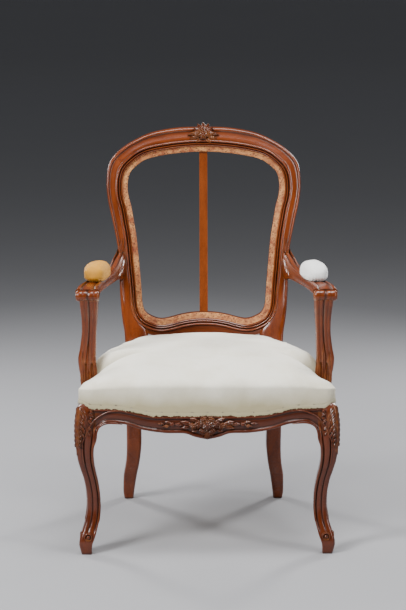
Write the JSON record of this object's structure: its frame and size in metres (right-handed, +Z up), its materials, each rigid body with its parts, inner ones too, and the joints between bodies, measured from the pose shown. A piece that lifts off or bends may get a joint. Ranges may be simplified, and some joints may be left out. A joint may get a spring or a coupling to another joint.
{
  "type": "upholstered open armchair",
  "caption": "Carved open armchair with cabriole legs, a curved open back frame ready for covering, padded arms and a sprung, cloth-covered seat.",
  "frame": {"origin": "on the floor, in the middle of the bounding box in plan", "axes": "+Z up, -Y the front of the seat, +X right as seen from the front"},
  "size_m": [0.604, 0.5925, 0.95],
  "materials": {
    "varnished_beech": "warm red-brown stain under a satin to glossy varnish, darker in the grooves",
    "batten_beech": "plain stained beech, satin",
    "peg_wood": "stained end grain, satin",
    "bare_beech": "unfinished, matt",
    "screw_steel": "dull",
    "pad_stuffing": "matt wadding",
    "white_cloth": "matt plain weave",
    "gold_cloth": "matt ribbed weave, worn",
    "jute_webbing": "coarse matt weave",
    "tack_iron": "blued, dull",
    "spring_steel": "dull, coppered",
    "hessian": "coarse matt weave",
    "hair_stuffing": "matt curled hair",
    "cream_muslin": "matt plain weave"
  },
  "bodies": {
    "root": {"arm_left": "varnished_beech", "arm_pad_cover_left": "gold_cloth", "arm_pad_cover_right": "white_cloth", "arm_pad_stuffing_left": "pad_stuffing", "arm_pad_stuffing_right": "pad_stuffing", "arm_post_left": "varnished_beech", "arm_post_right": "varnished_beech", "arm_post_screws": "screw_steel", "arm_right": "varnished_beech", "back_batten": "batten_beech", "corner_block_screws": "screw_steel", "corner_blocks": "bare_beech", "cover_tacks": "tack_iron", "crest_rail": "varnished_beech", "front_leg_left": "varnished_beech", "front_leg_right": "varnished_beech", "front_seat_rail": "varnished_beech", "joint_pegs": "peg_wood", "lower_back_rail": "varnished_beech", "rear_leg_left": "varnished_beech", "rear_leg_right": "varnished_beech", "rear_seat_rail": "varnished_beech", "seat_cover": "cream_muslin", "seat_hessian": "hessian", "seat_springs": "spring_steel", "seat_stuffing": "hair_stuffing", "side_seat_rail_left": "varnished_beech", "side_seat_rail_right": "varnished_beech", "webbing_crosswise": "jute_webbing", "webbing_lengthwise": "jute_webbing", "webbing_tacks": "tack_iron"}
  },
  "joints": []
}
